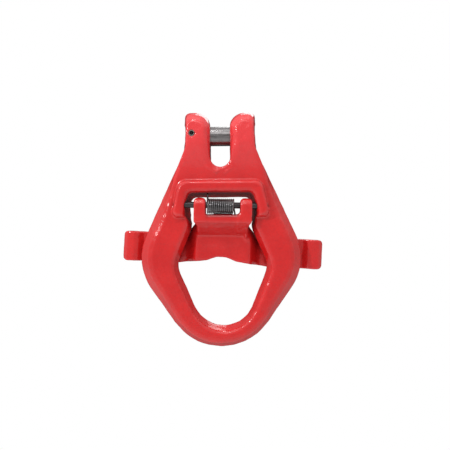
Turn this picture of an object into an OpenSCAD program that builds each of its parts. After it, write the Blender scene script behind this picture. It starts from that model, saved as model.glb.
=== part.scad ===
// Clevis lug link: a forged link that joins a sling chain to a headed lifting lug.
// The chain sits on a locked load pin in the jaw, the lug in the eye below it, and
// a sprung latch lies across the back of the ring so that the lug cannot lift out.
// Hanging attitude, millimetres. Origin at the middle of the load pin,
// X across the link, Y to the back, Z up.

/* [Clevis] */
// Diameter of the load pin
load_pin_d = 16; // [12:0.5:24]
// Clear width of the jaw between the two ears
jaw_w = 16.4; // [12:0.2:24]
// Drop from the load pin axis to the bottom of the jaw
jaw_drop = 26.6; // [18:0.5:40]
// Radius of the ear heads about the load pin
ear_r = 19.6; // [15:0.2:28]
// Half of the ear depth, front to back
ear_half_depth = 17; // [12:0.5:22]
// Half of the width across both ears at the parting line
ear_half_w = 29.7; // [24:0.2:40]
// Narrowing of the ears from parting line to face
ear_draft = 2.4; // [0:0.1:4]
// Rounding of the ear tops on the jaw side
ear_round = 12; // [4:0.5:13]
// Width of the bevel along the jaw side of each ear
ear_bevel = 5; // [0:0.1:6]
// Outer diameter of the spring pin that locks the load pin
roll_pin_d = 5; // [3:0.5:8]
// Wall of the spring pin
roll_pin_wall = 0.9; // [0.5:0.1:1.5]
// Distance of the spring pin from the middle plane
roll_pin_x = -22.9; // [-26:0.1:-16]

/* [Ring] */
// Half of the ring thickness
ring_half_t = 9.5; // [6:0.25:14]
// Height where the shoulders leave the ears
shoulder_z = -10.9; // [-20:0.1:0]
// Half width where shoulder and lower limb lines cross
girth_half_w = 73.2; // [55:0.2:85]
// Height where shoulder and lower limb lines cross
girth_z = -106.3; // [-125:0.5:-90]
// Rounding of the widest part of the ring
girth_r = 44; // [20:1:60]
// Angle of the lower limbs from the vertical
limb_angle = 35; // [25:0.5:45]
// Rounding of the bottom of the ring
bottom_r = 47; // [35:0.5:60]
// Width of the outer bevel at the shoulders
outer_bevel = 8.6; // [3:0.2:11]
// Width of the outer bevel at the bottom
bottom_bevel = 6; // [3:0.2:9]
// Width of the bevel round the eye
inner_bevel = 4.4; // [2:0.2:7]
// Height of the parting line rib left by the trimmed flash
flash_step = 0.7; // [0:0.1:1.5]

/* [Eye] */
// Half width of the eye at its widest
eye_half_w = 38.7; // [30:0.2:45]
// Height of the widest part of the eye
eye_wide_z = -108; // [-118:0.5:-98]
// Half width of the throat above the eye
throat_half_w = 25.1; // [20:0.1:30]
// Angle of the eye flanks below the widest part
flank_angle = 23; // [15:0.5:35]
// Offset of throat and eye to the right of the middle plane
eye_shift = 0.5; // [-1:0.1:1]
// Further offset of the eye for each mm below the hinge
eye_lean = 0.016; // [0:0.002:0.03]
// Radius of the seat at the bottom of the eye
seat_r = 26.4; // [20:0.5:32]
// Height of the centre of the seat
seat_z = -133.6; // [-140:0.1:-125]

/* [Latch window] */
// Height of the window ceiling at the front edge
window_top = -47.4; // [-52:0.2:-42]
// Half width of the window at its top front corners
window_top_half_w = 26.6; // [22:0.2:32]
// Half width of the window at the front, beside the hinge pin
window_half_w = 29; // [26:0.2:34]
// Narrowing of the window from front to back
window_draft = 2.8; // [1:0.1:6]
// Rounding of the window's front edge
window_lip = 3.8; // [1:0.1:5]
// Height of the raised U above the ring face
boss_rise = 7.5; // [5:0.25:10]
// Top edge of the raised U
boss_top = -39; // [-42:0.2:-34]
// Half width of the raised U at the top
boss_top_half_w = 32.8; // [28:0.2:38]
// Half width of the raised U at the leg ends
boss_foot_half_w = 39.2; // [32:0.2:44]
// Height of the leg ends of the raised U
boss_foot = -66.4; // [-72:0.2:-60]

/* [Hinge] */
// Diameter of the hinge pin
hinge_pin_d = 5; // [3:0.25:8]
// Height of the hinge pin
hinge_z = -58.2; // [-62:0.1:-54]
// Front to back position of the hinge pin
hinge_y = -12; // [-16:0.25:-6]
// Cant of the hinge pin, right end low
hinge_cant = 1.3; // [0:0.1:3]
// Half length of the hinge pin
hinge_pin_half = 37; // [32:0.25:40]
// Radial running clearance of latch on hinge pin
hinge_gap = 0.08; // [0.02:0.01:0.1]

/* [Latch] */
// Sideways shift of the latch along its pin
latch_shift = 1.9; // [-3:0.1:3]
// Outer radius of the latch knuckles
knuckle_r = 6.1; // [5:0.1:8]
// Inner edge of each knuckle from the latch middle
knuckle_in = 13.9; // [10:0.1:18]
// Outer edge of each knuckle from the latch middle
knuckle_out = 23.5; // [18:0.1:25]
// Rounding of the knuckle sides
knuckle_round = 3.4; // [1:0.1:4.5]
// Height offset of the wing shoulders, left up and right down
shoulder_skew = 1.8; // [0:0.1:3]
// Half width of the neck below the knuckles
neck_half_w = 20.8; // [18:0.1:24]
// Half length of the bar that crosses the ring
bar_half_l = 85.7; // [75:0.2:95]
// Height of the bar
bar_h = 25.2; // [16:0.2:30]
// Sideways shift of the bar on its neck
bar_shift = 0.4; // [-2:0.1:2]
// Thickness of the bar wings
bar_t = 8; // [5:0.2:12]
// Drop from the hinge pin to the middle of the bar
bar_drop = 37.6; // [32:0.2:44]
// Lean of the bar against its neck, right end low
bar_lean = 2; // [0:0.1:4]
// Gap between bar and ring at rest
bar_gap = 0.25; // [0.1:0.05:1]
// Half width of the forward step in the middle of the bar
step_half_w = 23.6; // [18:0.2:28]
// Height of the forward step
step_rise = 9.2; // [4:0.2:12]
// Rise of the notch in the lower edge
notch_rise = 4.4; // [0:0.1:8]
// Half width of the notch on its left and right
notch_half_w = [12.4, 10.4]; // [6:0.2:18]
// Forward swell of the ear pads at the bar ends
pad_swell = 3.4; // [0:0.1:5]

/* [Spring] */
// Wire diameter
wire_d = 1.6; // [1:0.1:2.4]
// Outer diameter of the coil
coil_d = 12.5; // [9:0.1:13.5]
// How far the loose coil hangs below the pin axis
coil_sag = 0.8; // [0:0.1:1.8]
// Whole turns of the coil
coil_turns = 13; // [8:1:18]
// Left end of the coil
coil_x = -10.8; // [-12:0.1:-8]

/* [Hidden] */

fit = 0.03;
core_z = -100;
stations = 92;
neck_top = -4;
boss_face = -ring_half_t - boss_rise;
jaw_r = jaw_w / 2;
coil_r = (coil_d - wire_d) / 2;
enamel = [0.83, 0.12, 0.13];
blued = [0.22, 0.22, 0.24];
bright = [0.55, 0.54, 0.52];
black = [0.1, 0.1, 0.1];

// --- plane geometry -----------------------------------------------------------

function unit(v) = v / norm(v);
function cross2(a, b) = a[0] * b[1] - a[1] * b[0];
function smooth(t) = let (c = max(0, min(1, t))) c * c * (3 - 2 * c);
function mix(a, b, t) = a + (b - a) * t;
function flip(pts) = [for (i = [len(pts) - 1:-1:0]) [-pts[i][0], pts[i][1], pts[i][2]]];

// Arc of n steps that rounds corner b of the path a, b, c.
function corner(a, b, c, r, n) =
    let (
        u = unit(a - b),
        v = unit(c - b),
        half = acos(max(-1, min(1, u * v))) / 2,
        centre = b + unit(u + v) * r / sin(half),
        s = b + u * r / tan(half) - centre,
        e = b + v * r / tan(half) - centre,
        from = atan2(s[1], s[0]),
        turn = atan2(cross2(s, e), s * e)
    )
    [for (i = [0:n]) centre + r * [cos(from + turn * i / n), sin(from + turn * i / n)]];

// Closed outline through corners [x, y, radius].
function rounded(pts, n = 5) =
    let (m = len(pts))
    [
        for (i = [0:m - 1])
        let (a = pts[(i + m - 1) % m], b = pts[i], c = pts[(i + 1) % m])
        each b[2] > 0
            ? corner([a[0], a[1]], [b[0], b[1]], [c[0], c[1]], b[2], n)
            : [[b[0], b[1]]]
    ];

// Distance from point c along direction d to the segment p q, or 0.
function hit(p, q, c, d) =
    let (e = q - p, den = cross2(d, e))
    abs(den) < 1e-9 ? 0 :
    let (t = cross2(p - c, e) / den, s = cross2(p - c, d) / den)
    t > 0 && s >= -1e-6 && s <= 1 + 1e-6 ? t : 0;

function reach(loop, c, d) =
    max([for (i = [0:len(loop) - 1]) hit(loop[i], loop[(i + 1) % len(loop)], c, d)]);

// --- solids from rings of points ----------------------------------------------

// Solid through rings of equal length, closed by a flat cap at each end.
module skin(rings) {
    n = len(rings[0]);
    m = len(rings);
    points = [for (r = rings) each r];
    sides = [
        for (k = [0:m - 2], i = [0:n - 1])
        each [
            [k * n + i, k * n + (i + 1) % n, (k + 1) * n + i],
            [k * n + (i + 1) % n, (k + 1) * n + (i + 1) % n, (k + 1) * n + i]
        ]
    ];
    first = [for (i = [n - 1:-1:0]) i];
    last = [for (i = [0:n - 1]) (m - 1) * n + i];
    polyhedron(points = points, faces = concat([first], sides, [last]), convexity = 8);
}

// Solid whose rings close on themselves, like a link of chain.
module closed_skin(rings) {
    n = len(rings[0]);
    m = len(rings);
    points = [for (r = rings) each r];
    faces = [
        for (k = [0:m - 1], i = [0:n - 1])
        let (a = k * n + i, b = k * n + (i + 1) % n)
        let (c = ((k + 1) % m) * n + i, d = ((k + 1) % m) * n + (i + 1) % n)
        each [[a, c, b], [b, c, d]]
    ];
    polyhedron(points = points, faces = faces, convexity = 8);
}

function at_y(loop, y) = [for (p = loop) [p[0], y, p[1]]];

// --- forged body --------------------------------------------------------------

function mirrored(half, foot = []) = concat(half, foot, flip(half));

// Outer edge of the ring at the parting line, clockwise from the neck.
ring_outer = rounded(mirrored(
    [
        [ear_half_w - 2.6, neck_top, 2],
        [ear_half_w, shoulder_z, 12],
        [girth_half_w, girth_z, girth_r]
    ],
    [[0, girth_z - girth_half_w / tan(limb_angle), bottom_r]]
), 8);

// Edge of throat and eye at the parting line. The window is cut out above it.
seat_foot = seat_z - seat_r / sin(flank_angle);
eye_upright = rounded(mirrored(
    [
        [throat_half_w - 4, hinge_z - 2, 0],
        [throat_half_w - 2, hinge_z - 8, 0],
        [throat_half_w, hinge_z - 12.5, 0],
        [throat_half_w, hinge_z - 18, 10],
        [eye_half_w, eye_wide_z, 18]
    ],
    [[0, seat_foot, seat_r]]
), 8);
eye_inner = [for (p = eye_upright) [p[0] + eye_shift + eye_lean * max(0, hinge_z - 10 - p[1]), p[1]]];

// Half thickness of the forging, thickening upwards into the ears.
function half_t(z) = mix(ring_half_t, 12.5, smooth((z + 50) / 26));

// Width of the outer bevel: narrow at the neck, widest at the shoulders.
function bevel(z) =
    z > -110
        ? mix(3, outer_bevel, smooth((-z - 8) / 60))
        : mix(outer_bevel, bottom_bevel, smooth((-z - 120) / 50));

// Cross-section of the ring on the ray at angle a from straight up.
function section(a) =
    let (
        d = [sin(a), cos(a)],
        c = [0, core_z],
        ro = reach(ring_outer, c, d),
        ri = reach(eye_inner, c, d),
        b = bevel(core_z + ro * d[1]),
        flat_o = ro - b - 1.2,
        flat_i = ri + inner_bevel + 1.2,
        front = [
            [ro, 1.2, 0],
            [ro - flash_step, 1.9, 0],
            [ro - 0.72 * b, -1.5, 1],
            [flat_o, 0, 1],
            [mix(flat_o, flat_i, 1 / 3), 0, 1],
            [mix(flat_o, flat_i, 2 / 3), 0, 1],
            [flat_i, 0, 1],
            [ri + 0.72 * inner_bevel, -1.4, 1],
            [ri + 0.5, 2.2, 0],
            [ri, 1.2, 0]
        ],
        place = [
            for (p = front)
            let (z = core_z + p[0] * d[1])
            [p[0] * d[0], p[1] + p[2] * half_t(z), z]
        ]
    )
    concat(
        [for (p = place) [p[0], -p[1], p[2]]],
        [for (i = [len(place) - 1:-1:0]) place[i]]
    );

module ring() {
    closed_skin([for (k = [0:stations - 1]) section(360 * k / stations)]);
}

// Outline of one ear at depth y, with the saddle that ties it to the other ear.
function ear_loop(y) =
    let (
        d = abs(y),
        edge = max(0, d - ear_half_depth + 1.3),
        turned = ear_bevel * pow(max(0, d - 10.5) / (ear_half_depth - 10.5), 2),
        top = sqrt(ear_r * ear_r - d * d) - 0.4 * edge,
        inner = jaw_r - 0.3 + turned,
        outer = ear_half_w - ear_draft * d / ear_half_depth - 0.8 * edge,
        foot = mix(-33, -4, max(0, (d - 9.5) / (ear_half_depth - 9.5)))
    )
    rounded([
        [inner, top, ear_round - 1.2 * turned],
        [outer - 0.4, top, 4.2],
        [outer + 0.6, shoulder_z, 0],
        [outer + 0.6 + 0.4 * (shoulder_z + 4 - foot), foot - 4, 0],
        [-1, foot - 4, 0],
        [-1, foot + 8 - 4 * smooth(d / 6), 0],
        [inner, foot + 8 - 4 * smooth(d / 6), 0]
    ], 6);

module ear() {
    depths = [1, 0.93, 0.84, 0.72, 0.45, 0, -0.45, -0.72, -0.84, -0.93, -1];
    skin([for (k = depths) at_y(ear_loop(k * ear_half_depth), k * ear_half_depth)]);
}

// Outline of the raised U, grown by g on every side.
function boss_loop(g) =
    rounded(mirrored([
        [boss_top_half_w + g, boss_top + g, 7.5],
        [boss_foot_half_w + g, boss_foot - g, 4.5]
    ]), 6);

module boss() {
    skin([
        at_y(boss_loop(2), -ring_half_t + 2),
        at_y(boss_loop(0.7), boss_face + 1.6),
        at_y(boss_loop(-0.9), boss_face)
    ]);
}

// Outline of the latch window at depth y, grown by g: narrower to the back and foot.
function window_loop(y, g) =
    let (t = (y - boss_face) / (ring_half_t - boss_face), top = window_top - 3.2 * t + g)
    rounded(mirrored([
        [window_top_half_w - window_draft * t + g, top, 4.5 + g],
        [window_half_w - window_draft * t + g, hinge_z, 10],
        [window_half_w + 1.2 - (window_draft + 2.4) * t + g, hinge_z - 8.5, 5],
        [throat_half_w - 1, hinge_z - 20, 3]
    ]), 5);

// How far the rounded lip stands back from the window wall at depth y.
function lip(y) =
    let (d = min(window_lip, max(0, y - boss_face)))
    window_lip - sqrt(window_lip * window_lip - pow(window_lip - d, 2));

module window_cut() {
    depths = [
        ring_half_t + 6, boss_face + window_lip, boss_face + 2,
        boss_face + 0.9, boss_face + 0.3, boss_face
    ];
    skin(concat(
        [for (y = depths) at_y(window_loop(y, lip(y)), y)],
        [at_y(window_loop(boss_face, window_lip), boss_face - 3)]
    ));
}

module jaw_cut() {
    translate([0, 0, jaw_r - jaw_drop]) {
        rotate([90, 0, 0]) cylinder(r = jaw_r, h = 60, center = true, $fn = 64);
        translate([-jaw_r, -30, 0]) cube([jaw_w, 60, 60]);
    }
}

module along_x(d, h) {
    rotate([0, 90, 0]) cylinder(d = d, h = h, center = true, $fn = 64);
}

module along_y(d, h) {
    rotate([90, 0, 0]) cylinder(d = d, h = h, center = true, $fn = 48);
}

module at_hinge() {
    translate([0, hinge_y, hinge_z]) rotate([0, hinge_cant, 0]) children();
}

module link_body() {
    color(enamel)
    difference() {
        resize([0, 0, 0])
        difference() {
            union() {
                ring();
                ear();
                mirror([1, 0, 0]) ear();
                boss();
            }
            window_cut();
        }
        jaw_cut();
        along_x(load_pin_d + 2 * fit, 80);
        translate([roll_pin_x, 0, 0]) along_y(roll_pin_d + 2 * fit, 50);
        at_hinge() along_x(hinge_pin_d + 2 * fit, 100);
    }
}

// --- pins ---------------------------------------------------------------------

// Round bar along Z with a chamfer c on both ends.
module pin_bar(d, half, c) {
    rotate_extrude($fn = 64)
    polygon([
        [0, -half], [d / 2 - c, -half], [d / 2, c - half],
        [d / 2, half - c], [d / 2 - c, half], [0, half]
    ]);
}

module load_pin() {
    color(blued)
    difference() {
        rotate([0, 90, 0]) pin_bar(load_pin_d, ear_half_w - 1.2, 1.2);
        translate([roll_pin_x, 0, 0]) along_y(roll_pin_d + 2 * fit, 30);
    }
}

module roll_pin() {
    half = ear_half_depth - 0.3;
    color(bright)
    translate([roll_pin_x, 0, 0])
    rotate([90, 0, 0])
    difference() {
        pin_bar(roll_pin_d, half, 0.5);
        cylinder(d = roll_pin_d - 2 * roll_pin_wall, h = 60, center = true, $fn = 48);
        translate([0, -0.5, -30]) cube([roll_pin_d, 1, 60]);
    }
}

module hinge_pin() {
    color(blued)
    at_hinge() rotate([0, 90, 0]) pin_bar(hinge_pin_d, hinge_pin_half, 0.6);
}

// --- latch --------------------------------------------------------------------

rest_y = ring_half_t - hinge_y + bar_gap;

// Side view of the neck between the knuckles, hollowed under the coil.
neck_side = rounded([
    [-5.2, -6.9, 1], [-4.6, -13.8, 1.5], [rest_y - step_rise, -25, 0],
    [rest_y - step_rise, -32, 0], [rest_y + 1, -32, 0], [rest_y + 1, -25, 2],
    [18, -20.2, 3], [2, -9.2, 1.5], [-2.5, -8.4, 1.5]
], 4);

// Side view of a knuckle post below the hinge pin.
post_side = [[-6, -1], [-5.2, -13.8], [8, -22.7], [14, -18], [4.9, 3.6]];

// Front view of knuckles and neck: round shoulders above, stepping in to the neck.
neck_front = rounded(mirrored([
    [knuckle_in, -6.8, 2],
    [knuckle_in, knuckle_r, knuckle_round],
    [knuckle_out, knuckle_r, knuckle_round],
    [knuckle_out, -13.4, 2],
    [neck_half_w + 0.3, -16.9, 2],
    [neck_half_w + 0.3, -34, 0]
]), 4);

// One half of the front view of the bar about its own middle, with notch half width w.
function bar_half(w) = [
    [bar_half_l, bar_h / 2, 3.5],
    [bar_half_l, -bar_h / 2, 3.5],
    [38, -bar_h / 2, 6],
    [w + 1, -bar_h / 2 + notch_rise - 0.6, 4],
    [w - 7.4, -bar_h / 2 + notch_rise + 2.6, 4]
];

bar_front = rounded(concat(bar_half(notch_half_w[1]), flip(bar_half(notch_half_w[0]))), 4);

// Plan view of the bar: flat wings, swollen ear pads and a forward step.
bar_plan_half = [
    [step_half_w - 0.6, rest_y - step_rise, 1.5],
    [step_half_w + 6.4, rest_y, 2],
    [68.5, rest_y, 2],
    [73, rest_y - pad_swell * 0.75, 3],
    [76.8, rest_y - pad_swell, 4],
    [82.5, rest_y - pad_swell * 0.6, 3],
    [bar_half_l, rest_y + 1.2, 1],
    [bar_half_l, rest_y + bar_t - 1, 1],
    [bar_half_l - 2, rest_y + bar_t, 1],
    [29, rest_y + bar_t, 2],
    [21, rest_y + bar_t - 6.5, 2]
];

module across(loop, half) {
    rotate([90, 0, 90]) linear_extrude(2 * half, center = true) polygon(loop);
}

module bar() {
    translate([bar_shift, 0, -bar_drop])
    rotate([0, bar_lean, 0])
    intersection() {
        rotate([90, 0, 0]) linear_extrude(120, center = true) polygon(bar_front);
        linear_extrude(60, center = true) polygon(rounded(mirrored(bar_plan_half), 3));
    }
}

module neck() {
    intersection() {
        union() {
            across(neck_side, neck_half_w + 1);
            for (span = [[-knuckle_out, -knuckle_in], [knuckle_in - 2, knuckle_out]])
                translate([(span[0] + span[1]) / 2, 0, 0]) {
                    across(post_side, (span[1] - span[0]) / 2);
                    along_x(2 * knuckle_r, span[1] - span[0]);
                }
        }
        rotate([90, 0, 0]) linear_extrude(80, center = true) polygon(neck_front);
    }
}

// Sloping shoulder that carries one wing from the neck: plan outlines at two heights.
gusset_top = [[-2, 8.5], [0.8, 9.5], [1.2, 11.5], [1.2, 13], [-2, 13.5]];
gusset_foot = [[-2, 9], [2.6, 13], [10, rest_y + 0.2], [10, rest_y + 6], [-2, rest_y + 6]];

module gusset(skew) {
    skin([
        for (level = [[gusset_top, -15], [gusset_foot, -25.8]])
        [for (p = level[0]) [neck_half_w + p[0], p[1], level[1] + skew]]
    ]);
}

module latch() {
    color(enamel)
    at_hinge()
    translate([latch_shift, 0, 0])
    difference() {
        resize([0, 0, 0])
        union() {
            neck();
            gusset(-shoulder_skew);
            mirror([1, 0, 0]) gusset(shoulder_skew);
            bar();
        }
        along_x(hinge_pin_d + 2 * hinge_gap, 120);
    }
}

// --- spring -------------------------------------------------------------------

// Angles run from straight up towards the back. Both legs stand at the back of the
// coil: one rises to the window ceiling, the other bears on the back of the neck.
coil_start = 75;
coil_end = 95 + 360 * coil_turns;
coil_steps = 18 * coil_turns;
coil_pitch = wire_d * 1.03;

function coil_point(t) =
    let (phi = mix(coil_start, coil_end, t))
    [coil_x + coil_pitch * (phi - coil_start) / 360, coil_r * sin(phi), coil_r * cos(phi)];

ceiling_leg = 8.8 * [0, -cos(coil_start), sin(coil_start)];
neck_leg = 8.9 * [0.2, cos(coil_end), -sin(coil_end)];

spring_path = concat(
    [coil_point(0) + ceiling_leg, coil_point(0) + 0.06 * ceiling_leg],
    [for (i = [0:coil_steps]) coil_point(i / coil_steps)],
    [coil_point(1) + 0.06 * neck_leg, coil_point(1) + neck_leg]
);

// Round section of the wire at path point i, square to the path.
function wire_ring(path, i, sides) =
    let (
        n = len(path),
        along = unit(path[min(i + 1, n - 1)] - path[max(i - 1, 0)]),
        u = unit(cross([1, 0, 0], along)),
        v = cross(along, u)
    )
    [for (k = [0:sides - 1]) path[i] + wire_d / 2 * (cos(360 * k / sides) * u + sin(360 * k / sides) * v)];

module spring() {
    color(black)
    at_hinge()
    translate([0, 0, -coil_sag])
    skin([for (i = [0:len(spring_path) - 1]) wire_ring(spring_path, i, 8)]);
}

link_body();
load_pin();
roll_pin();
hinge_pin();
latch();
spring();
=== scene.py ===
import math

import bmesh
import bpy
import numpy as np
from mathutils import Matrix, Vector, noise


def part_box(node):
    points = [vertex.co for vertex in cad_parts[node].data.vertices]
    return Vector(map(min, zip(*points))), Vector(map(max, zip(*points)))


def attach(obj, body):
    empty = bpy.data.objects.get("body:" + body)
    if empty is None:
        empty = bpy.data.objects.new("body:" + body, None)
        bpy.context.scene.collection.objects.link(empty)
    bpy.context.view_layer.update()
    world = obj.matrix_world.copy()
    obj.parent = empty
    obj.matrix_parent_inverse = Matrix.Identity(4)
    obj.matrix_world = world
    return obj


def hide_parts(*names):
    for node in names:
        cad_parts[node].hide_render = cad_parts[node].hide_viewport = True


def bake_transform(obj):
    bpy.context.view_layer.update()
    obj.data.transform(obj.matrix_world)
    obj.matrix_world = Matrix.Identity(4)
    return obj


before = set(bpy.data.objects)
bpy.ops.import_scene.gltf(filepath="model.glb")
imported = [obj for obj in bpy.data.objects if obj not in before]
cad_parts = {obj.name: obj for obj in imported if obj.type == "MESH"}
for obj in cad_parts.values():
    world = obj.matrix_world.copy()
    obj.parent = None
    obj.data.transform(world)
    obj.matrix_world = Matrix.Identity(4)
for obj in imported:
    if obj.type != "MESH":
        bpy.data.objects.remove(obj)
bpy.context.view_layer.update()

MM = 0.001

# Sizes are in millimetres unless a comment says otherwise. The hinge line and the coil's line
# repeat part.scad. The wire's radius is 0.7 where part.scad has 0.8, at the same outside
# diameter, so the gaps between the turns are a little wider.
HINGE = np.array([0.0, -12.0, -58.2])
HINGE_CANT = math.radians(1.3)
HINGE_PIN_R, HINGE_PIN_HALF, HINGE_PIN_EDGE, HINGE_PIN_DOME = 2.5, 37.0, 0.6, 0.3
COIL_X, COIL_R, COIL_SAG, COIL_TURNS = -10.8, 5.55, 0.8, 13
WIRE_R, COIL_PITCH = 0.7, 1.648
COIL_START, COIL_END = math.radians(75), math.radians(95 + 360 * COIL_TURNS)
LEG_UP, LEG_DOWN = (9.0, 8.0, 6.5, 5, 3.5, 2, 0.8), (0.8, 2, 3.5, 5, 6.5, 8, 8.9)
LOAD_PIN_R, LOAD_PIN_HALF, LOAD_PIN_EDGE = 8.0, 28.5, 1.2
ROLL_X, ROLL_R, ROLL_BORE_R, ROLL_HALF, ROLL_SLIT, ROLL_RIM = -22.9, 2.5, 1.6, 16.7, 0.5, 0.3
LATCH_X = 1.9
JAW_R, JAW_FOOT, EAR_BEVEL, EAR_HALF, BEVEL_FROM, BEVEL_TOP = 8.2, -26.6, 5, 17, 10.5, 6

# Forging folds below the jaw in the front view: two ends (x, z) and a width.
JAW_FOLDS = (
    ((-8, -27.5), (-3, -31), 0.9), ((-4, -30.5), (2, -28.5), 0.8), ((-1, -27), (4, -31.5), 0.8),
    ((4, -31), (11, -27), 0.9), ((-11, -26), (-7, -29), 0.7), ((9, -25.5), (13, -28), 0.7),
)
FOLD_HEIGHT = 0.85
SHOULDER_RIDGE, SHOULDER_HEIGHT = ((-29, -22), (-53, -66), 1.1), 0.45
PARTING_WIDTH = 0.9
SADDLE_HEIGHT, WEB_HEIGHT, NECK_ROUNDING = 1.1, 4.0, 0.09
CREASE_HEIGHT, SWELL_HEIGHT = 0.5, 0.8

# Unevenness of the forged faces: layers of height, bump size and seed.
LINK_UNEVEN = ((0.22, 14, 1), (0.15, 5, 2))
LATCH_UNEVEN = ((0.18, 12, 4), (0.14, 4.5, 5))

# Relaxation: a step in, a slightly longer step back out, and how often each is done.
STEP_IN, STEP_OUT = 0.5, -0.53
FAIR_ROUNDS, SOFT_STEPS = 4, 30
WELD_METRES = 1e-6

PIN_EDGE_STEPS = 5
DOME_RINGS = (0.66, 0.33, 0.05)
LOAD_PIN_SIDES, HINGE_PIN_SIDES, ROLL_PIN_SIDES, WIRE_SIDES = 96, 48, 56, 12
ROLL_RIM_STEPS, STEPS_PER_TURN = 4, 48

# Enamel colours.
RED_DULL, RED_BRIGHT = (0.60, 0.011, 0.012), (0.70, 0.016, 0.016)
# The second and third colours below are a painted sheen and a painted edge highlight.
RED_FLECK, RED_PAINTED_SHEEN, RED_PAINTED_EDGE_GLINT = (0.50, 0.010, 0.012), (0.80, 0.046, 0.052), (0.80, 0.060, 0.066)
# Both colours below are painted: shade in recesses and a shadow under the coil.
RED_RECESS_SHADE, RED_COIL_SHADOW = (0.13, 0.008, 0.011), (0.06, 0.006, 0.008)

# World brightness, and its gradients as (direction from -1 to 1, level).
TENT_LEVEL = 1.42
TENT_DEPTH = ((-1, 0.62), (-0.7, 0.74), (-0.15, 0.95), (0.15, 0.78), (0.85, 0.05))
TENT_HEIGHT = ((-1, 0.86), (-0.36, 0.86), (-0.12, 0.58), (0.26, 0.58), (0.46, 0.96), (1, 0.98))
TENT_SIDE = ((-1, 1.0), (1, 0.82))

# Lights in metres and watts: name, position, target, size, power.
LIGHTS = (
    ("key", (-0.09, -0.49, 0.89), (-0.015, -0.015, -0.03), 0.06, 0.6),
    ("ridge", (-0.66, -0.62, 0.30), (0, 0, -0.06), 0.10, 3.0),
    ("softbox", (-0.04, -0.38, 0.27), (0, 0, -0.02), 0.24, 0.24),
    ("overhead", (0, -0.12, 0.50), (0, 0, 0), 0.35, 0.16),
    ("rear", (0.20, 0.60, 0.55), (0, 0, -0.08), 0.5, 2.0),
)
EYE, FIELD_OF_VIEW, CAMERA_ROLL = (3.4, -390, -74.3), 51.7, -0.5
SENSOR_WIDTH, CLIP_START_METRES = 36, 0.01


# --- meshes ---------------------------------------------------------------------


def smooth(mesh):
    mesh.polygons.foreach_set("use_smooth", [True] * len(mesh.polygons))


def mesh_object(name, points, faces):
    """A mesh object from points in millimetres in the row frame."""
    mesh = bpy.data.meshes.new(name)
    corners = [tuple(float(c) * MM for c in p) for p in points]
    mesh.from_pydata(corners, [], [tuple(int(i) for i in f) for f in faces])
    mesh.validate()
    smooth(mesh)
    obj = bpy.data.objects.new(name, mesh)
    bpy.context.collection.objects.link(obj)
    return obj


def grid_faces(rows, cols):
    """Quads over a grid of points, row by row, closed round the columns."""
    faces = []
    for r in range(rows - 1):
        here, there = r * cols, (r + 1) * cols
        for c in range(cols):
            d = (c + 1) % cols
            faces.append((here + c, here + d, there + d, there + c))
    return faces


def end_caps(rows, cols):
    """The faces that close the first and the last row of a grid."""
    last = (rows - 1) * cols
    return [tuple(range(cols - 1, -1, -1)), tuple(last + k for k in range(cols))]


def lathe(profile, sides, place):
    """A closed turned solid: (axial, radius) from end to end, put into the frame by place()."""
    points = []
    for axial, radius in profile:
        for k in range(sides):
            a = 2 * math.pi * k / sides
            points.append(place(axial, radius * math.cos(a), radius * math.sin(a)))
    return points, grid_faces(len(profile), sides) + end_caps(len(profile), sides)


def bar_profile(half, radius, edge, dome=0.0):
    """Profile of a round bar with rounded edges and slightly domed ends."""
    end = []
    for k in range(PIN_EDGE_STEPS + 1):
        a = math.pi / 2 * k / PIN_EDGE_STEPS
        end.append((half - edge + edge * math.sin(a), radius - edge + edge * math.cos(a)))
    for k in DOME_RINGS:
        end.append((half + dome * (1 - k * k), (radius - edge) * k))
    return [(-x, r) for x, r in reversed(end)] + end


def recalc(obj):
    """Turn all faces outwards."""
    bm = bmesh.new()
    bm.from_mesh(obj.data)
    bmesh.ops.recalc_face_normals(bm, faces=bm.faces)
    bm.to_mesh(obj.data)
    bm.free()
    return obj


# --- forged pieces ----------------------------------------------------------------


def coordinates(mesh):
    co = np.empty(len(mesh.vertices) * 3)
    mesh.vertices.foreach_get("co", co)
    return co.reshape(-1, 3)


def normals(mesh):
    no = np.empty(len(mesh.vertices) * 3)
    mesh.vertex_normals.foreach_get("vector", no)
    return no.reshape(-1, 3)


def place_vertices(mesh, co):
    mesh.vertices.foreach_set("co", co.ravel())
    mesh.update()


def relax(co, edges, degree, weight):
    """One step of every vertex towards the mean of its neighbours."""
    total = np.empty_like(co)
    for axis in range(3):
        total[:, axis] = np.bincount(edges[:, 0], co[edges[:, 1], axis], len(co))
        total[:, axis] += np.bincount(edges[:, 1], co[edges[:, 0], axis], len(co))
    return co + weight * (total / degree[:, None] - co)


def even_copy(node, name, voxel):
    """A copy of a CAD node, remeshed into small even faces."""
    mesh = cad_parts[node].data.copy()
    bm = bmesh.new()
    bm.from_mesh(mesh)
    bmesh.ops.remove_doubles(bm, verts=bm.verts, dist=WELD_METRES)
    bm.to_mesh(mesh)
    bm.free()
    obj = bpy.data.objects.new(name, mesh)
    bpy.context.collection.objects.link(obj)
    remesh = obj.modifiers.new("even", "REMESH")
    remesh.mode = "VOXEL"
    remesh.voxel_size = voxel * MM
    remesh.adaptivity = 0
    bpy.context.view_layer.update()
    evaluated = obj.evaluated_get(bpy.context.evaluated_depsgraph_get())
    even = bpy.data.meshes.new_from_object(evaluated)
    obj.modifiers.clear()
    obj.data = even
    return obj


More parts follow.
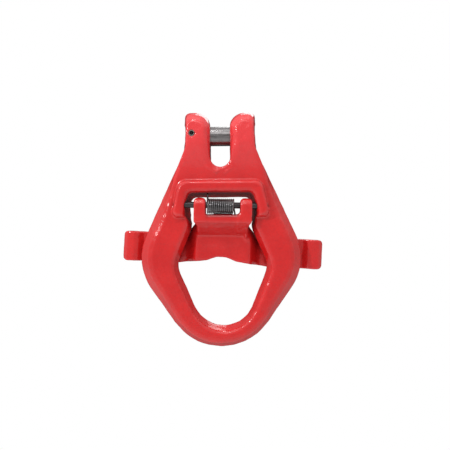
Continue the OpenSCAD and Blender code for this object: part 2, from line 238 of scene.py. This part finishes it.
def forged_copy(node, name, voxel, rounding, shape, soft, trim=None):
    """A forging made from the CAD node.

    It is remeshed evenly, trimmed, its edges are rounded, it is relaxed further where soft()
    says, given a forged skin by shape(), and kept inside the CAD node's box.
    """
    low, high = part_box(node)
    obj = even_copy(node, name, voxel)
    mesh = obj.data
    edges = np.empty(len(mesh.edges) * 2, np.int32)
    mesh.edges.foreach_get("vertices", edges)
    edges = edges.reshape(-1, 2)
    degree = np.maximum(np.bincount(edges.ravel(), minlength=len(mesh.vertices)), 1)
    co = coordinates(mesh)
    if trim:
        co = trim(co / MM) * MM
    for _ in range(rounding):
        co = relax(co, edges, degree, STEP_IN)
    for _ in range(FAIR_ROUNDS):
        co = relax(co, edges, degree, STEP_IN)
        co = relax(co, edges, degree, STEP_OUT)
    place_vertices(mesh, co)
    weight = soft(co / MM, normals(mesh))[:, None]
    for _ in range(SOFT_STEPS):
        co = co + weight * (relax(co, edges, degree, STEP_IN) - co)
    place_vertices(mesh, co)
    co = co + shape(co / MM, normals(mesh)) * MM
    co = np.clip(co, np.array(low), np.array(high))
    smooth(mesh)
    place_vertices(mesh, co)
    return obj


def ripple(points, size, seed):
    """Smooth noise, about -1 to 1, with bumps of the given size in millimetres."""
    shift = Vector((seed * 7.3, seed * 3.1, seed * 5.7))
    return np.array([noise.noise(Vector(p) / size + shift) for p in points])


def unevenness(points, layers):
    """Summed layers of noise, each a height, a bump size and a seed."""
    return sum(height * ripple(points, size, seed) for height, size, seed in layers)[:, None]


def rise(value, at, width):
    """0 below a place, 1 above it, smooth over width."""
    return 1 / (1 + np.exp(-(value - at) / width))


def bell(value, at, width):
    """1 at a place, falling off smoothly over width on both sides."""
    return np.exp(-(((value - at) / width) ** 2))


def ridge(points, a, b, width):
    """1 on the segment from a to b in the XZ plane, falling off smoothly over width."""
    a, b = np.array(a, float), np.array(b, float)
    flat = points[:, (0, 2)]
    t = np.clip(((flat - a) @ (b - a)) / ((b - a) @ (b - a)), 0, 1)
    gap = np.linalg.norm(flat - (a + t[:, None] * (b - a)), axis=1)
    return bell(gap, 0, width)


def faces_front(normal):
    """1 on faces turned straight to the front, 0 on those turned well away."""
    return np.clip(-normal[:, 1] - 0.3, 0, 1)


def jaw_bevel(points):
    """The bevel along the jaw, carried down both sides of the slot and round its foot."""
    x, y, z = points.T
    gap = np.hypot(x, np.minimum(0, z - (JAW_FOOT + JAW_R))) - JAW_R
    limit = BEVEL_FROM + (EAR_HALF - BEVEL_FROM) * np.sqrt(np.clip(gap / EAR_BEVEL, 0, 1))
    limit = np.where(z < BEVEL_TOP, limit, np.inf)
    return np.stack([x, np.sign(y) * np.minimum(abs(y), limit), z], axis=1)


def link_soft(points, normal):
    """The front and back faces where the ears flow into the plate."""
    z = points[:, 2]
    below_pin, above_window = rise(-z, 3.5, 0.8), rise(z, -36, 1.5)
    return below_pin * above_window * np.clip(abs(normal[:, 1]) * 2 - 1, 0, 1)


def link_skin(points, normal):
    """Uneven faces, the trimmed parting line, jaw folds and a ridge on the left shoulder."""
    shift = normal * unevenness(points, LINK_UNEVEN)
    parting = bell(points[:, 1], 0, PARTING_WIDTH) * (1 - np.abs(normal[:, 1])) ** 2
    below_jaw = np.clip((-points[:, 2] - 20) / 30, 0, 1)
    height = 0.35 + 0.25 * ripple(points, 22, 3)
    shift += normal * (parting * below_jaw * height)[:, None]
    folds = np.zeros(len(points))
    for start, end, width in JAW_FOLDS:
        folds = np.maximum(folds, ridge(points, start, end, width))
    fold_uneven = 0.7 + 0.6 * ripple(points, 4, 6)
    ridge_uneven = 0.8 + 0.7 * ripple(points, 3.5, 7)
    shoulder = SHOULDER_HEIGHT * ridge(points, *SHOULDER_RIDGE) * ridge_uneven
    raised = (FOLD_HEIGHT * folds * fold_uneven + shoulder) * faces_front(normal)
    return shift + normal * raised[:, None]


def latch_place(points):
    """Points about the latch's own middle and the hinge line."""
    return np.stack([
        points[:, 0] - LATCH_X, points[:, 1] - HINGE[1],
        points[:, 2] - HINGE[2] + math.sin(HINGE_CANT) * points[:, 0],
    ])


def latch_soft(points, normal):
    """Where the neck and the step of the bar flow into the wings, in front."""
    x, _, z = latch_place(points)
    wing = rise(abs(x), 17, 1.2) * rise(-abs(x), -36, 1)
    return wing * rise(-z, 17, 1) * np.clip(-normal[:, 1] * 1.6, 0, 1)


def latch_skin(points, normal):
    """Uneven faces, and the latch's own soft shapes.

    A saddle under the coil and a web behind it, the neck's front edge rounded back, and a crease
    and a swollen middle on the bar.
    """
    shift = normal * unevenness(points, LATCH_UNEVEN)
    x, y, z = latch_place(points)
    between_posts = rise(-abs(x), -14, 0.7)
    saddle = bell(z, -8.6, 1.3) * rise(y, -4.2, 0.5) * rise(-y, -4, 0.8)
    faces_up = np.clip((normal[:, 2] - 0.2) * 2, 0, 1)
    web = bell(y, 4, 1.3) * rise(-abs(x), -9, 0.6) * faces_up
    shift[:, 2] += SADDLE_HEIGHT * saddle * between_posts + WEB_HEIGHT * web * rise(z, -14, 0.7)
    neck = np.clip(z + 11.2, 0, 4) ** 2
    shift[:, 1] += NECK_ROUNDING * neck * between_posts * rise(-y, 1, 0.8)
    crease = bell(z, -24.7, 0.8) * rise(-abs(x), -16, 1.5)
    swell = np.exp(-(((z + 30) / 4.5) ** 2) - ((x + 3) / 13) ** 2)
    raised = (CREASE_HEIGHT * crease + SWELL_HEIGHT * swell) * faces_front(normal)
    return shift + normal * raised[:, None]


# --- materials ----------------------------------------------------------------------


class Nodes:
    """Short calls for building a material's node tree."""

    def __init__(self, name):
        self.material = bpy.data.materials.new(name)
        self.material.use_nodes = True
        self.tree = self.material.node_tree
        self.shader = self.tree.nodes["Principled BSDF"]
        self.coord = self.add("ShaderNodeTexCoord").outputs["Object"]

    def add(self, kind, **values):
        node = self.tree.nodes.new(kind)
        for key, value in values.items():
            setattr(node, key, value)
        return node

    def link(self, a, b):
        self.tree.links.new(a, b)

    def scaled(self, x, y, z):
        node = self.add("ShaderNodeMapping")
        node.inputs["Scale"].default_value = (x, y, z)
        self.link(self.coord, node.inputs["Vector"])
        return node.outputs[0]

    def noise(self, scale, detail=3.0, rough=0.5, vector=None):
        node = self.add("ShaderNodeTexNoise")
        node.inputs["Scale"].default_value = scale
        node.inputs["Detail"].default_value = detail
        node.inputs["Roughness"].default_value = rough
        self.link(self.coord if vector is None else vector, node.inputs["Vector"])
        return node.outputs["Fac"]

    def span(self, value, low, high, to_low, to_high):
        """A value mapped from one range to another, held at both ends."""
        node = self.add("ShaderNodeMapRange")
        ends = (("From Min", low), ("From Max", high), ("To Min", to_low), ("To Max", to_high))
        for key, number in ends:
            node.inputs[key].default_value = number
        self.link(value, node.inputs["Value"])
        return node.outputs[0]

    def mix(self, fac, a, b):
        node = self.add("ShaderNodeMix", data_type="RGBA")
        self.link(fac, node.inputs["Factor"])
        for socket, colour in ((node.inputs[6], a), (node.inputs[7], b)):
            if isinstance(colour, tuple):
                socket.default_value = (*colour, 1)
            else:
                self.link(colour, socket)
        return node.outputs[2]

    def times(self, a, b):
        node = self.add("ShaderNodeMath", operation="MULTIPLY")
        self.link(a, node.inputs[0])
        self.link(b, node.inputs[1])
        return node.outputs[0]

    def occlusion(self, reach):
        """How open the surface is, from 0 to 1, looking as far as reach."""
        node = self.add("ShaderNodeAmbientOcclusion", samples=8)
        node.inputs["Distance"].default_value = reach * MM
        return node.outputs["AO"]

    def bump(self, height, distance, strength, normal=None):
        node = self.add("ShaderNodeBump")
        node.inputs["Distance"].default_value = distance * MM
        node.inputs["Strength"].default_value = strength
        self.link(height, node.inputs["Height"])
        if normal is not None:
            self.link(normal, node.inputs["Normal"])
        return node.outputs["Normal"]

    def set(self, **values):
        for key, value in values.items():
            self.shader.inputs[key.replace("_", " ")].default_value = value


def enamel(name, recess_shade, reach, coil_shadow=False):
    """Gloss red enamel over forged scale: orange peel, soft pitting, flecks, painted edge
    highlights.

    It has a painted sheen, paler towards the ears, and painted shade in recesses. If asked,
    it also paints a shadow: a dark band on the latch just under the coil.
    Positions are in metres.
    """
    n = Nodes(name)
    patch = n.span(n.noise(45, 4), 0.3, 0.7, 0, 1)
    cloudy = n.mix(patch, RED_DULL, RED_BRIGHT)
    fleck = n.span(n.noise(430, 4, 0.6), 0.5, 0.75, 0, 0.55)
    deep = n.mix(fleck, cloudy, RED_FLECK)
    split = n.add("ShaderNodeSeparateXYZ")
    n.link(n.coord, split.inputs[0])
    # Painted sheen: the enamel is made paler and pinker towards the ears, where the light is
    # brighter.
    high = n.span(split.outputs["Z"], -0.042, -0.004, 0, 0.85)
    base = n.mix(high, deep, RED_PAINTED_SHEEN)
    # Painted highlight: sharp edges are made paler and pinker.
    worn = n.add("ShaderNodeNewGeometry").outputs["Pointiness"]
    edge = n.span(worn, 0.505, 0.56, 0, 0.5)
    colour = n.mix(edge, base, RED_PAINTED_EDGE_GLINT)
    # Painted shade: the colour darkens where the surface is closed in.
    shade = n.span(n.occlusion(reach), 0.2, 0.75, recess_shade, 0)
    colour = n.mix(shade, colour, RED_RECESS_SHADE)
    # Painted shadow: a dark band on the latch just under the coil.
    if coil_shadow:
        top = n.span(split.outputs["Z"], -0.0690, -0.0655, 0, 0.85)
        left = n.span(split.outputs["X"], -0.0130, -0.0105, 0, 1)
        right = n.span(split.outputs["X"], 0.0125, 0.0155, 1, 0)
        coil_shadow_band = n.times(n.times(top, left), right)
        colour = n.mix(coil_shadow_band, colour, RED_COIL_SHADOW)
    n.link(colour, n.shader.inputs["Base Color"])
    n.link(n.span(n.noise(260, 3), 0.3, 0.7, 0.12, 0.23), n.shader.inputs["Roughness"])
    scale = n.bump(n.noise(150, 3, 0.5), 0.8, 0.6)
    peel = n.bump(n.noise(760, 2, 0.5), 0.15, 0.7, scale)
    n.link(peel, n.shader.inputs["Normal"])
    n.set(IOR=1.48, Coat_Weight=0.25, Coat_Roughness=0.07)
    return n.material


def dark_steel(name, base, light, rough, along, gap_shade_reach=0):
    """Dark steel with fine marks along one axis, and painted shade in gaps under a given size."""
    n = Nodes(name)
    streak = n.noise(1, 4, 0.6, n.scaled(*along))
    blotch = n.noise(220, 4, 0.6)
    tone = n.mix(n.span(streak, 0.35, 0.7, 0, 1), base, light)
    worn = n.mix(n.span(blotch, 0.45, 0.75, 0, 0.5), tone, tuple(c * 0.55 for c in base))
    # Painted shade: the colour darkens in narrow gaps, such as between the spring's turns.
    if gap_shade_reach:
        gap_shade = n.span(n.occlusion(gap_shade_reach), 0.62, 0.95, 1, 0)
        worn = n.mix(gap_shade, worn, tuple(c * 0.1 for c in base))
    n.link(worn, n.shader.inputs["Base Color"])
    n.link(n.span(streak, 0.3, 0.7, rough - 0.07, rough + 0.1), n.shader.inputs["Roughness"])
    n.link(n.bump(streak, 0.05, 0.4), n.shader.inputs["Normal"])
    n.set(Metallic=0.85)
    return n.material


# --- the pieces ---------------------------------------------------------------------


def finish_piece(obj, body, material, node):
    """Give a piece its material, hide its CAD node, and put it on a body if one is given."""
    obj.data.materials.clear()
    obj.data.materials.append(material)
    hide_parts(node)
    if body:
        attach(obj, body)
    return obj


def at_hinge(x, y, z):
    """A place given along and about the canted hinge line, in the row frame."""
    c, s = math.cos(HINGE_CANT), math.sin(HINGE_CANT)
    return (HINGE[0] + c * x + s * z, HINGE[1] + y, HINGE[2] - s * x + c * z)


def load_pin():
    profile = bar_profile(LOAD_PIN_HALF, LOAD_PIN_R, LOAD_PIN_EDGE)
    turned = lathe(profile, LOAD_PIN_SIDES, lambda x, u, v: (x, u, v))
    return recalc(mesh_object("load_pin_bar", *turned))


def hinge_pin():
    half = HINGE_PIN_HALF - HINGE_PIN_DOME
    profile = bar_profile(half, HINGE_PIN_R, HINGE_PIN_EDGE, HINGE_PIN_DOME)
    return recalc(mesh_object("hinge_pin_rod", *lathe(profile, HINGE_PIN_SIDES, at_hinge)))


def roll_pin():
    """Rolled spring pin: a slit tube with rounded rims."""
    outer, inner, end = ROLL_R - ROLL_RIM, ROLL_BORE_R + ROLL_RIM, ROLL_HALF - ROLL_RIM
    wall = []
    for r0, y0, a0 in ((outer, end, 0), (inner, end, 90), (inner, -end, 180), (outer, -end, 270)):
        for k in range(ROLL_RIM_STEPS + 1):
            a = math.radians(a0 + 90 * k / ROLL_RIM_STEPS)
            wall.append((r0 + ROLL_RIM * math.cos(a), y0 + ROLL_RIM * math.sin(a)))
    gap = math.asin(ROLL_SLIT / ROLL_R)
    points = []
    for k in range(ROLL_PIN_SIDES + 1):
        a = gap + (2 * math.pi - 2 * gap) * k / ROLL_PIN_SIDES
        points += [(ROLL_X + r * math.cos(a), y, r * math.sin(a)) for r, y in wall]
    size = (ROLL_PIN_SIDES + 1, len(wall))
    return recalc(mesh_object("roll_pin_sleeve", points, grid_faces(*size) + end_caps(*size)))


def spring():
    """Close-wound torsion spring with both legs standing at its back."""
    def on_coil(phi):
        return np.array([
            COIL_X + COIL_PITCH * (phi - COIL_START) / (2 * math.pi),
            COIL_R * math.sin(phi), COIL_R * math.cos(phi) - COIL_SAG,
        ])

    up = np.array([0, -math.cos(COIL_START), math.sin(COIL_START)])
    down = np.array([0.2, math.cos(COIL_END), -math.sin(COIL_END)])
    count = STEPS_PER_TURN * COIL_TURNS
    turned = [COIL_START + (COIL_END - COIL_START) * k / count for k in range(count + 1)]
    path = [on_coil(COIL_START) + up * d for d in LEG_UP]
    path += [on_coil(phi) for phi in turned]
    path += [on_coil(COIL_END) + down * d for d in LEG_DOWN]
    path = np.array(path)
    points = []
    for i in range(len(path)):
        along = path[min(i + 1, len(path) - 1)] - path[max(i - 1, 0)]
        along /= np.linalg.norm(along)
        u = np.cross([1, 0, 0], along)
        u /= np.linalg.norm(u)
        v = np.cross(along, u)
        for k in range(WIRE_SIDES):
            a = 2 * math.pi * k / WIRE_SIDES
            points.append(at_hinge(*(path[i] + WIRE_R * (math.cos(a) * u + math.sin(a) * v))))
    size = (len(path), WIRE_SIDES)
    return recalc(mesh_object("torsion_spring", points, grid_faces(*size) + end_caps(*size)))


body_red = enamel("link_enamel", 0.85, 18)
latch_red = enamel("latch_enamel", 0.75, 7, coil_shadow=True)
phosphate = dark_steel(
    "phosphated_steel", (0.16, 0.150, 0.151), (0.33, 0.315, 0.315), 0.2, (60, 1500, 1500))
hinge_steel = dark_steel(
    "hinge_pin_steel", (0.05, 0.045, 0.048), (0.11, 0.10, 0.10), 0.3, (60, 1500, 1500))
pin_steel = dark_steel(
    "roll_pin_steel", (0.12, 0.115, 0.11), (0.40, 0.38, 0.35), 0.2, (1500, 60, 1500))
black_wire = dark_steel(
    "spring_wire_black", (0.10, 0.094, 0.097), (0.33, 0.315, 0.32), 0.16, (900, 900, 900), 1.4)

link = forged_copy("link_body", "link_forging", 0.8, 2, link_skin, link_soft, jaw_bevel)
finish_piece(link, "link", body_red, "link_body")
latch = forged_copy("latch", "latch_forging", 0.7, 3, latch_skin, latch_soft)
finish_piece(latch, "latch", latch_red, "latch")
finish_piece(load_pin(), "link", phosphate, "load_pin")
finish_piece(hinge_pin(), "link", hinge_steel, "hinge_pin")
finish_piece(roll_pin(), "link", pin_steel, "roll_pin")
coil = finish_piece(spring(), None, black_wire, "spring")
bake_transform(coil)


# --- stage ----------------------------------------------------------------------------


def studio_sweep():
    """Pale floor that curves up into a backdrop all round. It is plain white, casts no light."""
    floor, wall, curve, top = -330.0, 3200.0, 900.0, 4200.0
    curve_steps, sides = 12, 64
    profile = [(0.5, floor), (wall - curve, floor)]
    for k in range(1, curve_steps + 1):
        a = math.pi / 2 * k / curve_steps
        profile.append((wall - curve + curve * math.sin(a), floor + curve - curve * math.cos(a)))
    profile += [(wall, top - 1200), (wall * 0.7, top - 300), (0.5, top)]
    angles = [2 * math.pi * k / sides for k in range(sides)]
    points = [(r * math.cos(a), r * math.sin(a), z) for r, z in profile for a in angles]
    obj = mesh_object("studio_sweep", points, grid_faces(len(profile), sides))
    n = Nodes("studio_white")
    glow = n.add("ShaderNodeEmission")
    glow.inputs["Color"].default_value = (1, 1, 1, 1)
    n.link(glow.outputs[0], n.tree.nodes["Material Output"].inputs["Surface"])
    n.tree.nodes.remove(n.shader)
    obj.data.materials.append(n.material)
    for flag in ("diffuse", "glossy", "transmission", "volume_scatter", "shadow"):
        setattr(obj, "visible_" + flag, False)


def tent_light():
    """Soft light from all round: bright above, a dim band level with the lens, little behind."""
    world = bpy.data.worlds.new("light_tent")
    bpy.context.scene.world = world
    world.use_nodes = True
    tree = world.node_tree
    coord = tree.nodes.new("ShaderNodeTexCoord").outputs["Generated"]
    split = tree.nodes.new("ShaderNodeSeparateXYZ")
    tree.links.new(coord, split.inputs[0])

    def graded(axis, levels):
        along = tree.nodes.new("ShaderNodeMapRange")
        along.inputs["From Min"].default_value = -1
        tree.links.new(split.outputs[axis], along.inputs["Value"])
        ramp = tree.nodes.new("ShaderNodeValToRGB")
        while len(ramp.color_ramp.elements) < len(levels):
            ramp.color_ramp.elements.new(0.5)
        for element, (place, level) in zip(ramp.color_ramp.elements, levels):
            element.position = (place + 1) / 2
            element.color = (level, level, level, 1)
        tree.links.new(along.outputs[0], ramp.inputs["Fac"])
        return ramp.outputs["Color"]

    def times(a, b):
        node = tree.nodes.new("ShaderNodeMath")
        node.operation = "MULTIPLY"
        for value, socket in zip((a, b), node.inputs):
            if isinstance(value, float):
                socket.default_value = value
            else:
                tree.links.new(value, socket)
        return node.outputs[0]

    depth = graded("Y", TENT_DEPTH)
    height = graded("Z", TENT_HEIGHT)
    side = graded("X", TENT_SIDE)
    strength = times(times(times(depth, height), side), TENT_LEVEL)
    background = tree.nodes["Background"]
    background.inputs["Color"].default_value = (1, 1, 1, 1)
    tree.links.new(strength, background.inputs["Strength"])


def area_light(name, position, target, size, watts):
    light = bpy.data.lights.new(name, "AREA")
    light.shape = "DISK"
    light.size = size
    light.energy = watts
    obj = bpy.data.objects.new(name, light)
    bpy.context.collection.objects.link(obj)
    obj.location = position
    towards = Vector(target) - Vector(position)
    obj.rotation_euler = towards.to_track_quat("-Z", "Y").to_euler()


def camera():
    """The photograph's camera: level, straight on, and rolled slightly."""
    cam = bpy.data.cameras.new("camera")
    obj = bpy.data.objects.new("camera", cam)
    bpy.context.collection.objects.link(obj)
    cam.sensor_width = SENSOR_WIDTH
    cam.sensor_fit = "HORIZONTAL"
    cam.lens = SENSOR_WIDTH / (2 * math.tan(math.radians(FIELD_OF_VIEW) / 2))
    cam.clip_start = CLIP_START_METRES
    upright = Matrix.Rotation(math.pi / 2, 4, "X")
    roll = Matrix.Rotation(math.radians(CAMERA_ROLL), 4, "Z")
    obj.matrix_world = Matrix.Translation(Vector([c * MM for c in EYE])) @ upright @ roll
    bpy.context.scene.camera = obj


studio_sweep()
tent_light()
for light_row in LIGHTS:
    area_light(*light_row)
camera()
bpy.context.scene.view_settings.view_transform = "Standard"
